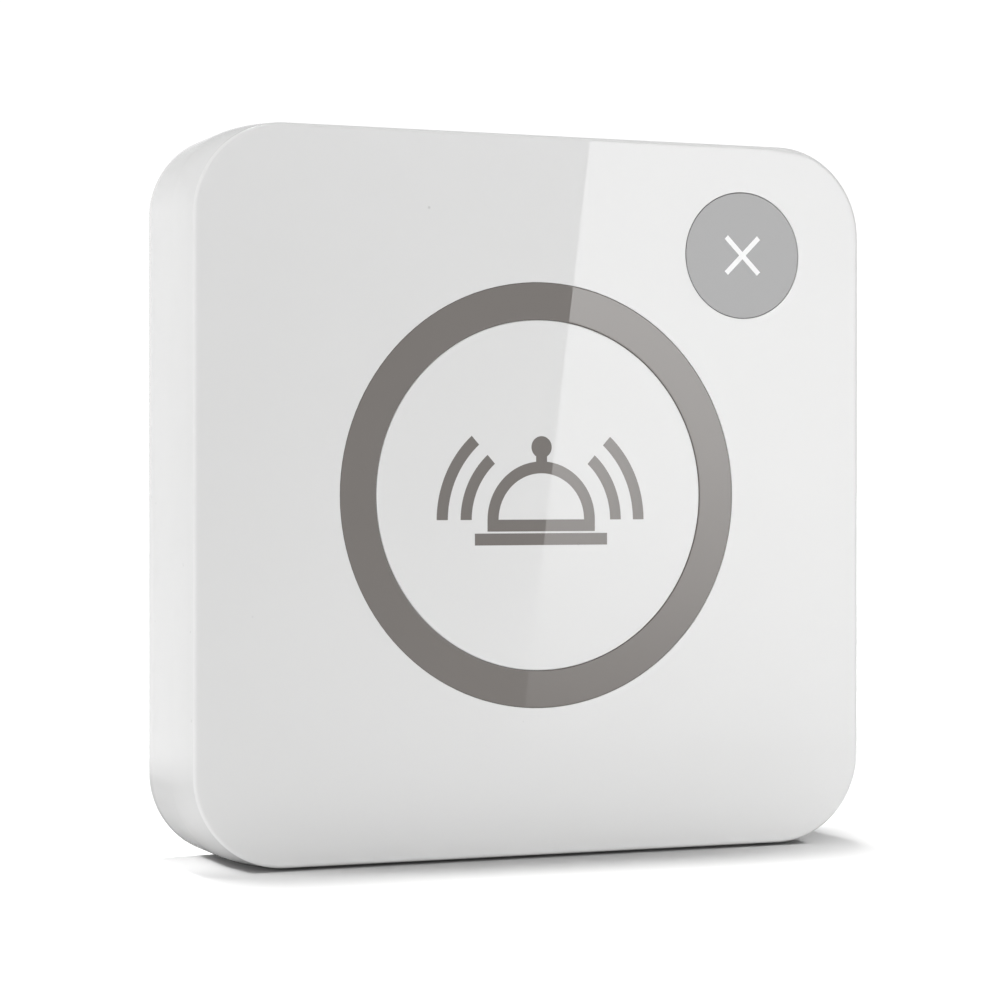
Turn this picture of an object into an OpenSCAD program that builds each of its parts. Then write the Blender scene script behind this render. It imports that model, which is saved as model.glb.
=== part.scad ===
// Waiter call button: a square wireless call point with a large call cap in a trim ring
// and a small cancel cap. Each module is drawn lying on its back, with the back face on
// z = 0, x to the right and y up the face, and stand_up() then sets it on its lower edge.

/* [Housing] */
// Side of the square housing at its back
body_w = 86; // [84:0.5:92]
// Depth from the back face to the front face
body_d = 18; // [17.5:0.1:20]
// How far each side wall flares out from the front face to its straight part
flare = 0.4; // [0:0.1:1]
// Share of the depth over which the side walls flare
flare_share = 0.44; // [0.3:0.02:0.6]
// Corner radius at the front face
corner_r = 10.5; // [9:0.1:13]
// Rounding of the edge round the front face
edge_r = 0.5; // [0.2:0.1:1]
// Thickness of the side walls at the back
wall = 2; // [1.8:0.1:2.4]
// Thickness of the front wall
front_wall = 2.2; // [2:0.1:2.4]

/* [Trim ring] */
// Outer diameter of the trim ring
ring_od = 50.4; // [49:0.1:52]
// Inner diameter of the trim ring
ring_id = 41.7; // [41.6:0.1:42.5]
// Thickness of the trim ring
ring_t = 1.2; // [1:0.1:1.3]

/* [Keys] */
// Diameter of the call cap
call_d = 41.3; // [40.5:0.1:41.4]
// Diameter of the cancel cap
cancel_d = 15.1; // [14:0.1:16]
// Distance of the cancel cap to the right of the centre
cancel_x = 26.6; // [26:0.1:28]
// Distance of the cancel cap above the centre
cancel_y = 29.2; // [28:0.1:30]
// Travel of both caps
key_travel = 0.5; // [0.3:0.05:0.6]
// Gap all round a sliding piece
slide_gap = 0.2; // [0.1:0.05:0.3]

/* [Circuit board] */
// Side of the square circuit board
board_w = 74; // [72:0.5:75]
// Thickness of the circuit board
board_t = 1.6; // [1.2:0.1:1.7]
// Height of the board's lower face above the back face
board_z = 8.4; // [8.3:0.1:8.6]

/* [Antenna] */
// Number of turns of the antenna coil
coil_turns = 10; // [6:1:11]
// Diameter of the coil's wire
coil_wire_d = 0.8; // [0.6:0.1:0.9]
// Radius of the coil at the middle of its wire
coil_r = 2.1; // [1.8:0.1:2.3]
// Distance from one turn to the next
coil_pitch = 1.6; // [1.5:0.05:1.7]

/* [Battery] */
// Diameter of the coin cell
cell_d = 24.5; // [24:0.1:24.5]
// Thickness of the coin cell
cell_t = 5; // [4.8:0.1:5]
// Distance of the battery below the centre of the face
battery_drop = 20; // [19:0.5:21]
// Angle through which the battery door turns between locked and free
door_turn = 40; // [36:1:44]

/* [Wall mounting] */
// Distance between the two wall screw holes
wall_hole_pitch = 60.3; // [58:0.1:62]
// Diameter of a wall screw hole
wall_hole_d = 4.2; // [3.8:0.1:4.6]

/* [Hidden] */
$fn = 96;
cut = 1;                                     // how far a cutting shape runs past the face that it cuts
fuse = 0.2;                                  // how far a shape runs into the one that carries it

white = [0.92, 0.92, 0.91];
taupe = [0.46, 0.44, 0.43];
mid_grey = [0.68, 0.68, 0.68];
black = [0.10, 0.10, 0.11];
metal = [0.75, 0.75, 0.73];
brass = [0.78, 0.66, 0.38];
copper = [0.72, 0.45, 0.28];
board_green = [0.08, 0.32, 0.18];
ceramic = [0.62, 0.56, 0.48];

half = body_w / 2;
pocket_w = body_w - 2 * wall;                // clear width between the side walls
pocket_r = corner_r + flare - wall;
ceiling = body_d - front_wall;               // inner face of the front wall
cancel_at = [cancel_x, cancel_y];
battery_at = [0, -battery_drop];

// Rear cover
plate_t = 2;
plate_gap = 0.2;                             // between the plate and the side walls
plate_w = pocket_w - 2 * plate_gap;
lip_inset = 1.5;
lip_w = pocket_w - 2 * lip_inset;
lip_t = 1;
lip_h = 1.6;
rib_depth = 1.2;
rib_t = 1.6;
rib_places = [-24, 0, 24];
hook_places = [-15, 15];
hook_w = 6;
hook_t = 1.2;
hook_barb = 0.8;
hook_inset = 1;
hook_gap = 0.2;                              // between a barb and the catch that it holds
hook_top = 7.5;
catch_z = 4.6;
catch_h = 1.2;
catch_depth = 0.9;
pry_w = 10;                                  // the notch for prying the rear cover out
pry_h = 1.4;

// Caps
seat_top = body_d - ring_t;                  // the trim ring's seat
ring_gap = 0.05;                             // between the trim ring and its recess
bore_gap = 0.5;                              // between the call cap and the bore behind the ring
call_flange_r = 23;
collar_t = 1.6;
collar_h = 4;
flange_t = 1.1;
flange_gap = 0.1;                            // between a resting cap's flange and its stop
flange_top = ceiling - flange_gap;
cap_skin = 1.8;
cap_edge_r = 0.4;
post_r = 3;
guide_pin_r = 1;
guide_pin_ring = 16;
guide_angles = [90, 210, 330];
cancel_flange_r = cancel_d / 2 + 1.2;

// Switches: a 6 mm push switch
switch_w = 6;
switch_h = 3.4;
switch_frame_t = 0.3;
plunger_r = 1.75;
plunger_foot_r = 2.1;
cavity_r = 2.3;
cavity_floor = 0.9;
board_top = board_z + board_t;
plunger_top = board_top + 4.3;
dome_h = 0.45;
dome_gap = 0.15;                             // between the dome and a fully pressed plunger
foot_bottom = board_top + cavity_floor + dome_h + dome_gap + key_travel;
foot_top = board_top + 3.1;

// Board fixings
boss_places = [[-31, 31], [-31, -31], [31, -31], [34, 12]];
boss_r = 2.6;
screw_r = 0.98;
screw_hole_r = 1.02;
screw_head_r = 1.9;
screw_head_h = 1.4;
screw_depth = 4.4;
screw_spare = 0.4;                           // how much deeper the hole is than the screw
board_hole_r = 1.2;

// Parts on the board, with their places from the centre of the face
encoder_at = [4, -31];
resonator_at = [-13, -31];
transistor_at = [-31, -19];
chip_places = [
    [14, -31], [18, -31], [22, -31], [-22, -31], [-31, -24], [-26, -26], [26, -24],
    [31, -22], [31, -18], [-31, 21], [-27, 24], [14, 31], [8, 31], [2, 31]
];

// Battery and its door
cell_r = cell_d / 2;
tongue_h = 1.2;                              // the room for the spring tongue under the board
cell_z = board_z - tongue_h - cell_t;
door_r = 15.5;
door_t = 1.2;
ledge_t = 1.4;
lug_t = 1.2;
lug_gap = 0.1;
lug_angle = 24;
notch_angle = 30;
lug_count = 3;
plug_r = 13.1;
plug_t = 0.7;
ledge_r = plug_r + slide_gap;
lug_r = 14.2;
seal_ring_r = 14.9;
seal_r = 0.32;
seal_groove_w = 1;
seal_groove_d = 0.7;
seal_lift = 0.01;                            // keeps the seal off the groove's floor
holder_gap = 0.25;                           // between the cell and its holder
holder_in_r = cell_r + holder_gap;
holder_t = 1.5;
holder_z = cell_z + 2.1;
contact_t = 0.25;
lug_z = door_t + ledge_t + lug_gap;
mark_r = 0.7;                                // dimples that show how the door is turned
mark_d = 0.3;
mark_inset = 1.6;

// Stands the model on its lower edge, with its depth centred on the origin
module stand_up() {
    translate([0, body_d / 2, half])
        rotate([90, 0, 0])
            children();
}

// A disc or post standing on the height z
module post(r, z, h) {
    translate([0, 0, z])
        cylinder(r = r, h = h);
}

// A flat ring, or a tube, standing on the height z
module tube(outer_r, inner_r, z, h) {
    difference() {
        post(outer_r, z, h);
        post(inner_r, z - cut, h + 2 * cut);
    }
}

// A block centred on x and y
module block(w, d, z, h) {
    translate([-w / 2, -d / 2, z])
        cube([w, d, h]);
}

// A square plate with round corners
module square_plate(w, r, z, h) {
    block(w - 2 * r, w, z, h);
    block(w, w - 2 * r, z, h);
    for (sx = [-1, 1], sy = [-1, 1])
        translate([sx * (w / 2 - r), sy * (w / 2 - r), 0])
            post(r, z, h);
}

// A sector of a ring, centred on the angle middle
module ring_sector(outer_r, inner_r, z, h, middle, span) {
    rotate([0, 0, middle - span / 2])
        rotate_extrude(angle = span)
            translate([inner_r, z])
                square([outer_r - inner_r, h]);
}

// A quarter round for a profile, from the side face up to the top face
function quarter_round_up(r, top, side) =
    [for (a = [0:22.5:90]) [side - r + r * cos(a), top - r + r * sin(a)]];

// The same quarter round, from the top face down to the side face
function quarter_round_down(r, top, side) =
    [for (a = [90:-22.5:0]) [side - r + r * cos(a), top - r + r * sin(a)]];

// How far the side wall has flared out at the share s of the flared depth
function flare_at(s) = flare * (2 * s - s * s);

// The outline of the side wall, as distance from a corner's centre and height
wall_outline = concat(
    [[0, 0], [corner_r + flare, 0]],
    [for (s = [1:-0.25:0.25]) [corner_r + flare_at(s), body_d * (1 - flare_share * s)]],
    quarter_round_up(edge_r, body_d, corner_r),
    [[0, body_d]]
);

// The solid inside the outer skin: four turned corners joined by two crossing extrusions
module outer_skin() {
    c = half - flare - corner_r;
    across = concat(
        [for (p = wall_outline) [p[0] + c, p[1]]],
        [for (k = [len(wall_outline) - 1:-1:0]) [-c - wall_outline[k][0], wall_outline[k][1]]]
    );
    for (sx = [-1, 1], sy = [-1, 1])
        translate([sx * c, sy * c, 0])
            rotate_extrude()
                polygon(wall_outline);
    for (turn = [0, 90])
        rotate([90, 0, turn])
            linear_extrude(2 * c, center = true)
                polygon(across);
}

// The ribs inside the side walls that the rear cover rests on
module wall_ribs() {
    for (side = [0:90:270], place = rib_places)
        rotate([0, 0, side])
            translate([half - wall - rib_depth / 2, place, 0])
                block(rib_depth + 2 * fuse, rib_t, plate_t, ceiling - plate_t + fuse);
}

// The ledges inside the upper and lower walls that the hooks snap over
module catches() {
    for (side = [-1, 1], place = hook_places)
        translate([place, side * (pocket_w - catch_depth + fuse) / 2, 0])
            block(hook_w + 2, catch_depth + fuse, catch_z, catch_h);
}

module board_boss() {
    gusset = 1;
    gusset_w = 9;
    gusset_h = 2.6;
    post(boss_r, board_top, ceiling - board_top + fuse);
    block(gusset_w, gusset, ceiling - gusset_h, gusset_h + fuse);
    block(gusset, gusset_w, ceiling - gusset_h, gusset_h + fuse);
}

module front_cover() {
    call_collar_r = call_flange_r + slide_gap;
    cancel_collar_r = cancel_flange_r + slide_gap;
    color(white)
        stand_up()
            difference() {
                union() {
                    difference() {
                        outer_skin();
                        square_plate(pocket_w, pocket_r, -cut, ceiling + cut);
                    }
                    wall_ribs();
                    catches();
                    post(call_collar_r + collar_t, ceiling - collar_h, collar_h + fuse);
                    translate(cancel_at)
                        post(cancel_collar_r + collar_t, ceiling - collar_h, collar_h + fuse);
                    for (place = boss_places)
                        translate(place)
                            board_boss();
                }
                post(ring_od / 2 + ring_gap, seat_top, ring_t + cut);
                post(call_d / 2 + bore_gap, 0, body_d + cut);
                post(call_collar_r, 0, ceiling);
                translate(cancel_at) {
                    post(cancel_d / 2 + slide_gap, 0, body_d + cut);
                    post(cancel_collar_r, 0, ceiling);
                }
                for (place = boss_places)
                    translate(place)
                        post(screw_hole_r, 0, board_top + screw_depth + screw_spare);
                translate([0, -half, 0])
                    block(pry_w, 2 * (wall + cut), -cut, pry_h + cut);
            }
}

module trim_ring() {
    chamfer = 0.15;
    outer_r = ring_od / 2;
    inner_r = ring_id / 2;
    color(taupe)
        stand_up()
            rotate_extrude()
                polygon([
                    [inner_r, seat_top], [outer_r, seat_top],
                    [outer_r, body_d - chamfer], [outer_r - chamfer, body_d],
                    [inner_r + chamfer, body_d], [inner_r, body_d - chamfer]
                ]);
}

// A cap: a skin with a rounded edge, a skirt, and a flange that stops it under the wall
module cap(r, flange_r) {
    skirt_t = 1.6;
    rotate_extrude()
        polygon(concat(
            [[0, body_d - cap_skin], [0, body_d]],
            quarter_round_down(cap_edge_r, body_d, r),
            [[r, flange_top], [flange_r, flange_top], [flange_r, flange_top - flange_t],
             [r - skirt_t, flange_top - flange_t], [r - skirt_t, body_d - cap_skin]]
        ));
}

module call_button() {
    rib_h = 1.4;
    rib_w = 1;
    pin_foot = board_z - 0.2;
    under_skin = body_d - cap_skin;
    color(white)
        stand_up() {
            cap(call_d / 2, call_flange_r);
            post(post_r, plunger_top, under_skin - plunger_top + fuse);
            for (a = guide_angles)
                rotate([0, 0, a]) {
                    translate([guide_pin_ring, 0, 0])
                        post(guide_pin_r, pin_foot, under_skin - pin_foot + fuse);
                    translate([call_d / 4, 0, 0])
                        block(call_d / 2 - 2, rib_w, under_skin - rib_h, rib_h + fuse);
                }
        }
}

module cancel_button() {
    color(mid_grey)
        stand_up()
            translate(cancel_at) {
                cap(cancel_d / 2, cancel_flange_r);
                post(post_r, plunger_top, body_d - cap_skin - plunger_top + fuse);
            }
}

// The push switch, drawn round its own axis
module switch_housing() {
    leg_w = 0.8;
    leg_len = 1.4;
    leg_t = 0.3;
    leg_pitch = 4.5;
    color(black)
        difference() {
            block(switch_w, switch_w, board_top, switch_h);
            post(cavity_r, board_top + cavity_floor, switch_h);
        }
    color(metal)
        for (sx = [-1, 1], sy = [-1, 1])
            translate([sx * (switch_w + leg_len) / 2, sy * leg_pitch / 2, 0])
                block(leg_len, leg_w, board_top, leg_t);
}

module switch_frame() {
    tab_w = 3;
    tab_h = 2.4;
    hole_r = plunger_r + 0.1;
    z = board_top + switch_h;
    color(metal) {
        difference() {
            block(switch_w, switch_w, z, switch_frame_t);
            post(hole_r, z - cut, switch_frame_t + 2 * cut);
        }
        for (sy = [-1, 1])
            translate([0, sy * (switch_w + switch_frame_t) / 2, 0])
                block(tab_w, switch_frame_t, z + switch_frame_t - tab_h, tab_h);
    }
}

// The dished disc that clicks and pushes the plunger back
module switch_dome() {
    dome_r = 2;
    dome_t = 0.12;
    floor_z = board_top + cavity_floor;
    sphere_r = (dome_r * dome_r + dome_h * dome_h) / (2 * dome_h);
    half_angle = asin(dome_r / sphere_r);
    centre = floor_z + dome_h - sphere_r;
    color(metal)
        rotate_extrude()
            polygon(concat(
                [for (k = [0:6]) let (a = half_angle * k / 6)
                    [sphere_r * sin(a), centre + sphere_r * cos(a)]],
                [for (k = [6:-1:0]) let (inner = sphere_r - dome_t, a = asin(dome_r / inner) * k / 6)
                    [inner * sin(a), max(floor_z, centre + inner * cos(a))]]
            ));
}

module switch_plunger() {
    color(black) {
        post(plunger_foot_r, foot_bottom, foot_top - foot_bottom);
        post(plunger_r, foot_bottom, plunger_top - foot_bottom);
    }
}

module call_switch_housing() {
    stand_up()
        switch_housing();
}

module call_switch_frame() {
    stand_up()
        switch_frame();
}

module call_switch_dome() {
    stand_up()
        switch_dome();
}

module call_switch_plunger() {
    stand_up()
        switch_plunger();
}

module cancel_switch_housing() {
    stand_up()
        translate(cancel_at)
            switch_housing();
}

module cancel_switch_frame() {
    stand_up()
        translate(cancel_at)
            switch_frame();
}

module cancel_switch_dome() {
    stand_up()
        translate(cancel_at)
            switch_dome();
}

module cancel_switch_plunger() {
    stand_up()
        translate(cancel_at)
            switch_plunger();
}

module circuit_board() {
    corner_r = 3;
    color(board_green)
        stand_up()
            difference() {
                square_plate(board_w, corner_r, board_z, board_t);
                for (place = boss_places)
                    translate(place)
                        post(board_hole_r, board_z - cut, board_t + 2 * cut);
                for (a = guide_angles)
                    rotate([0, 0, a])
                        translate([guide_pin_ring, 0, 0])
                            post(guide_pin_r + slide_gap, board_z - cut, board_t + 2 * cut);
            }
}

module board_screws() {
    slot_len = 2.4;
    slot_w = 0.6;
    slot_d = 0.6;
    head_z = board_z - screw_head_h;
    color(metal)
        stand_up()
            for (place = boss_places)
                translate(place)
                    difference() {
                        union() {
                            post(screw_head_r, head_z, screw_head_h);
                            post(screw_r, board_z - fuse, board_t + screw_depth + fuse);
                        }
                        block(slot_len, slot_w, head_z - cut, slot_d + cut);
                        block(slot_w, slot_len, head_z - cut, slot_d + cut);
                    }
}

// A small outline package: a moulded body and its rows of leads
module encoder_chip() {
    chip_w = 8.7;
    chip_d = 3.9;
    chip_h = 1.5;
    stand_off = 0.15;
    lead_pitch = 1.27;
    lead_w = 0.42;
    foot_len = 1;
    foot_t = 0.25;
    knee_t = 0.4;
    knee_h = 0.9;
    pairs = 7;
    color(black)
        stand_up()
            translate(encoder_at) {
                block(chip_w, chip_d, board_top + stand_off, chip_h);
                for (k = [0:pairs - 1], side = [-1, 1])
                    translate([(k - (pairs - 1) / 2) * lead_pitch, side * (chip_d + foot_len) / 2, 0]) {
                        block(lead_w, foot_len, board_top, foot_t);
                        translate([0, -side * knee_t, 0])
                            block(lead_w, knee_t, board_top, knee_h);
                    }
            }
}

module resonator_can() {
    can_r = 2.2;
    can_len = 6.4;
    can_h = 3.5;
    rim = 0.3;
    rim_h = 0.5;
    color(metal)
        stand_up()
            translate(resonator_at)
                for (layer = [[can_r + rim, rim_h], [can_r, can_h]])
                    for (sx = [-1, 1]) {
                        translate([sx * can_len / 2, 0, 0])
                            post(layer[0], board_top, layer[1]);
                        block(can_len, 2 * layer[0], board_top, layer[1]);
                    }
}

module radio_transistor() {
    case_w = 2.9;
    case_d = 1.3;
    case_h = 1;
    stand_off = 0.1;
    lead_w = 0.4;
    lead_len = 0.9;
    lead_t = 0.2;
    reach = 0.95;
    color(black)
        stand_up()
            translate(transistor_at) {
                block(case_w, case_d, board_top + stand_off, case_h);
                for (place = [[-reach, -reach], [reach, -reach], [0, reach]])
                    translate(place)
                        block(lead_w, lead_len, board_top, lead_t);
            }
}

// Chip resistors and capacitors
module small_components() {
    chip_w = 2;
    chip_d = 1.25;
    chip_h = 0.6;
    color(ceramic)
        stand_up()
            for (place = chip_places)
                translate(place)
                    block(chip_w, chip_d, board_top, chip_h);
}

// The antenna: one unbroken wire, swept along a helix whose ends run straight to the board
coil_x = -31;
coil_z = board_top + coil_r + coil_wire_d / 2 + 0.3;
coil_rings = 12;
coil_sides = 6;
coil_len = coil_turns * coil_pitch;
coil_gap = coil_pitch - coil_wire_d;
echo(least_gap_between_turns_mm = coil_gap);

// A point on the wire's centre line, with k counting rings along the coil
function coil_point(k) =
    let (a = 360 * k / coil_rings)
    [coil_x + coil_r * cos(a), -coil_len / 2 + coil_pitch * k / coil_rings, coil_z - coil_r * sin(a)];
coil_count = coil_turns * coil_rings;
coil_path = [for (k = [0:coil_count]) coil_point(k)];

// The ring of points round the centre line, turned with the helix
function coil_ring(k) =
    let (a = 360 * k / coil_rings,
         radial = [cos(a), 0, -sin(a)],
         climb = coil_pitch / (2 * PI * coil_r),
         along = [-sin(a), climb, -cos(a)] / sqrt(1 + climb * climb),
         across = cross(along, radial))
    [for (j = [0:coil_sides - 1])
        let (b = 360 * j / coil_sides)
        coil_path[k] + coil_wire_d / 2 * (cos(b) * radial + sin(b) * across)];

module antenna_coil() {
    points = [for (k = [0:coil_count]) each coil_ring(k)];
    skin = [for (k = [0:coil_count - 1], j = [0:coil_sides - 1])
        let (a = k * coil_sides + j, b = k * coil_sides + (j + 1) % coil_sides)
        each [[a, b, b + coil_sides], [a, b + coil_sides, a + coil_sides]]];
    first = [for (j = [coil_sides - 1:-1:0]) j];
    last = [for (j = [0:coil_sides - 1]) coil_count * coil_sides + j];
    color(copper)
        stand_up()
            polyhedron(points, concat([first], skin, [last]));
}

module battery_holder() {
    mouth_angle = 50;
    color(black)
        stand_up()
            translate(battery_at)
                difference() {
                    tube(holder_in_r + holder_t, holder_in_r, holder_z, board_z - holder_z);
                    ring_sector(holder_in_r + holder_t + cut, holder_in_r - cut, holder_z - cut,
                        board_z - holder_z + 2 * cut, 90, mouth_angle);
                }
}

// A bent strip that presses on the side of the cell
module battery_contact_positive() {
    strip_w = 6;
    foot = 4;
    color(brass)
        stand_up()
            translate([0, cell_r - battery_drop, 0]) {
                translate([0, contact_t / 2, 0])
                    block(strip_w, contact_t, holder_z, board_z - holder_z);
                translate([0, foot / 2, 0])
                    block(strip_w, foot, board_z - contact_t, contact_t);
            }
}

// A strip under the board with a raised tongue that presses on the small pole
module battery_contact_negative() {
    strip_w = 5;
    strip_len = 18;
    tongue_r = 3;
    color(brass)
        stand_up()
            translate(battery_at) {
                block(strip_w, strip_len, board_z - contact_t, contact_t);
                post(tongue_r, cell_z + cell_t, tongue_h);
            }
}

module coin_cell() {
    rim = 0.6;
    pole_r = 10.4;
    pole_t = 0.5;
    r = cell_r;
    color(metal)
        stand_up()
            translate(battery_at)
                rotate_extrude()
                    polygon([
                        [0, cell_z], [r - rim, cell_z], [r, cell_z + rim],
                        [r, cell_z + cell_t - pole_t - rim], [r - rim, cell_z + cell_t - pole_t],
                        [pole_r, cell_z + cell_t - pole_t], [pole_r, cell_z + cell_t],
                        [0, cell_z + cell_t]
                    ]);
}

// A snap hook, with its barb on the side away from the middle
module hook() {
    barb_z = catch_z + catch_h + hook_gap;
    block(hook_w, hook_t, plate_t - fuse, hook_top - plate_t + fuse);
    translate([0, (hook_t + hook_barb - fuse) / 2, 0])
        block(hook_w, hook_barb + fuse, barb_z, hook_top - barb_z);
}

module rear_cover() {
    rim_r = 17.6;
    countersink_r = 4;
    countersink_h = 1;
    rib_x = 21;
    rib_y = 20;
    rib_h = 1.2;
    color(white)
        stand_up()
            difference() {
                union() {
                    square_plate(plate_w, pocket_r - plate_gap, 0, plate_t);
                    difference() {
                        square_plate(lip_w, pocket_r - lip_inset, plate_t - fuse, lip_h + fuse);
                        square_plate(lip_w - 2 * lip_t, pocket_r - lip_inset - lip_t, plate_t - cut,
                            lip_h + 2 * cut);
                    }
                    for (side = [0, 180], place = hook_places)
                        rotate([0, 0, side])
                            translate([place, pocket_w / 2 - hook_inset - hook_t / 2, 0])
                                hook();
                    translate(battery_at)
                        post(rim_r, 0, door_t + ledge_t);
                    for (sx = [-1, 1])
                        translate([sx * rib_x, 0, 0])
                            block(lip_t, lip_w - lip_t, plate_t - fuse, rib_h + fuse);
                    translate([0, rib_y, 0])
                        block(lip_w - lip_t, lip_t, plate_t - fuse, rib_h + fuse);
                }
                translate(battery_at) {
                    post(door_r + slide_gap, -cut, door_t + cut);
                    post(ledge_r, 0, door_t + ledge_t + cut);
                    for (k = [0:lug_count - 1])
                        ring_sector(lug_r + slide_gap, ledge_r - cut, 0, door_t + ledge_t + cut,
                            90 + door_turn + k * 360 / lug_count, notch_angle);
                }
                for (turn = [0, door_turn])
                    translate(battery_at)
                        rotate([0, 0, turn])
                            translate([0, door_r + mark_inset, 0])
                                post(mark_r, -cut, mark_d + cut);
                for (sx = [-1, 1])
                    translate([sx * wall_hole_pitch / 2, 0, 0]) {
                        post(wall_hole_d / 2, -cut, plate_t + 2 * cut);
                        translate([0, 0, plate_t - countersink_h])
                            cylinder(r1 = wall_hole_d / 2, r2 = countersink_r, h = countersink_h + 0.001);
                    }
            }
}

// The door is locked as drawn, with its lugs behind the ledge and clear of the notches
module battery_door() {
    slot_w = 2;
    slot_len = 17;
    slot_d = 0.8;
    cell_pad_r = 5;
    cell_pad_gap = 0.1;
    color(white)
        stand_up()
            translate(battery_at)
                difference() {
                    union() {
                        post(door_r, 0, door_t);
                        tube(plug_r, plug_r - plug_t, door_t - fuse, lug_z + lug_t - door_t + fuse);
                        post(cell_pad_r, door_t - fuse, cell_z - cell_pad_gap - door_t + fuse);
                        for (k = [0:lug_count - 1])
                            ring_sector(lug_r, plug_r - plug_t / 2, lug_z, lug_t,
                                90 + k * 360 / lug_count, lug_angle);
                    }
                    tube(seal_ring_r + seal_groove_w / 2, seal_ring_r - seal_groove_w / 2,
                        door_t - seal_groove_d, seal_groove_d + cut);
                    translate([0, door_r - mark_inset, 0])
                        post(mark_r, -cut, mark_d + cut);
                    block(slot_len - slot_w, slot_w, -cut, slot_d + cut);
                    for (sx = [-1, 1])
                        translate([sx * (slot_len - slot_w) / 2, 0, 0])
                            post(slot_w / 2, -cut, slot_d + cut);
                }
}

module door_seal() {
    color(black)
        stand_up()
            translate(battery_at)
                rotate_extrude()
                    translate([seal_ring_r, door_t - seal_groove_d + seal_r + seal_lift])
                        circle(r = seal_r, $fn = 24);
}

front_cover();
trim_ring();
call_button();
cancel_button();
call_switch_housing();
call_switch_frame();
call_switch_dome();
call_switch_plunger();
cancel_switch_housing();
cancel_switch_frame();
cancel_switch_dome();
cancel_switch_plunger();
circuit_board();
board_screws();
encoder_chip();
resonator_can();
radio_transistor();
small_components();
antenna_coil();
battery_holder();
battery_contact_positive();
battery_contact_negative();
coin_cell();
rear_cover();
battery_door();
door_seal();
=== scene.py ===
"""A waiter call button: glossy white housing, grey trim ring, a large call cap and a small cancel cap.

The visible pieces are drawn lying on their back in millimetres, with the back face on z = 0, x to
the right and y up the face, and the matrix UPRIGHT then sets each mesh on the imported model.
"""

import math

import bmesh
import bpy
from mathutils import Matrix, Vector


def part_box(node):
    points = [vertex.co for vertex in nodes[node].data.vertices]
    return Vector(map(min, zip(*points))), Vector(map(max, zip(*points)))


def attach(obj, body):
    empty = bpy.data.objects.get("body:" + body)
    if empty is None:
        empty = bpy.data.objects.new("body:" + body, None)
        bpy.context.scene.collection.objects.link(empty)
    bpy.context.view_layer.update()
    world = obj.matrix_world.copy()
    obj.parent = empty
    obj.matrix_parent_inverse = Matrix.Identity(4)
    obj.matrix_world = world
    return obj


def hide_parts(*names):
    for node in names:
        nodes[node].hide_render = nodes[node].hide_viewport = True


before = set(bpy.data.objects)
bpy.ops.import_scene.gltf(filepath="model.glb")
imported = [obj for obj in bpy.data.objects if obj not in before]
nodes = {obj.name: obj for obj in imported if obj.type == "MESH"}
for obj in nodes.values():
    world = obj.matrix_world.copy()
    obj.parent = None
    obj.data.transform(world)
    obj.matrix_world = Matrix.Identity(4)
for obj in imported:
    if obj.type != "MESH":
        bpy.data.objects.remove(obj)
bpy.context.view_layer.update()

# ------------------------------
# Sizes, in millimetres

MM = 0.001
shell_low, shell_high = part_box("front_cover")
BODY_W = (shell_high.x - shell_low.x) / MM
BODY_D = (shell_high.y - shell_low.y) / MM
HALF = BODY_W / 2

# The cover: how far its walls draw in from the back to the front, and over what depth
FLARE = 0.4
FLARE_DEPTH = 0.44 * BODY_D
FRONT_CORNER_R = 10.9
BACK_CORNER_R = 10.2
EDGE_R = 0.42
WALL = 2.0
CEILING = BODY_D - 2.2
POCKET_R = 8.9
RIM_ROUND = 0.25

RING_R = (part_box("trim_ring")[1].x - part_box("trim_ring")[0].x) / 2 / MM
RING_HOLE_R = 20.78
RING_SEAT = BODY_D - 1.2
CALL_R = 20.75
CALL_FLANGE_R = 23.0
CANCEL_R = 7.66
CANCEL_FLANGE_R = 8.75
FACE_GAP = 0.04
GUIDE_GAP = 0.2
SEAT_GAP = 0.02
CAP_EDGE = 0.16
SMALL_CAP_EDGE = 0.08
CAP_SKIN = 1.8
FLANGE_TOP = CEILING - 0.1
FLANGE_T = 1.1
# The ink stands on a cap by INK and reaches into it by INK_SUNK
INK = 0.02
INK_SUNK = 0.01
RING_SUNK = 0.02
BORE_LEDGE = 0.5
SKIRT_T = 1.6
POST_R = 3.0
POST_LOW = 14.3
PIN_R = 1.0
PIN_LOW = 8.2
PIN_SPACING_R = 16.0
PIN_TURNS = (90, 210, 330)

# How far an inner feature reaches into the wall that carries it
ROOT = 0.2
PLATE_T = 2.0
RIB_DEPTH = 1.2
RIB_T = 1.6
RIB_PLACES = (-24, 0, 24)
HOOK_PLACES = (-15, 15)
CATCH_Z = 5.2
CATCH_SIZE = (8, 1.1, 1.2)
COLLAR_DEPTH = 4.0
COLLAR_T = 1.6
PRY_W = 10.0
PRY_H = 1.4

# The board and what it carries; BOARD_TOP is its side towards the face
BOARD_Z = 8.4
BOARD_TOP = 10.0
BOSS_PLACES = ((-31, 31), (-31, -31), (31, -31), (34, 12))
BATTERY_AT = (0, -20)
CELL_LIP_R = 10.9
GASKET_R = 10.85
GASKET_BORE_R = 10.4
POLE_R = 10.35
BOSS_R = 2.6
BOSS_BORE_R = 1.02
BOSS_BORE_DEPTH = 4.8
GUSSETS = ((9, 1), (1, 9))
GUSSET_DEPTH = 2.6
SCREW_HEAD_H = 1.4
SCREW_HEAD_R = 1.9
THREAD_R = 0.98
CORE_R = 0.78
THREADS = 9
THREAD_PITCH = 0.45
SWITCH_W = 6.0
SWITCH_H = 3.4
ENCODER_AT = (4, -31)
ENCODER_SIZE = (8.7, 3.9)
LEAD_PITCH = 1.27
TRANSISTOR_AT = (-31, -19)
TRANSISTOR_SIZE = (2.9, 1.3)
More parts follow.
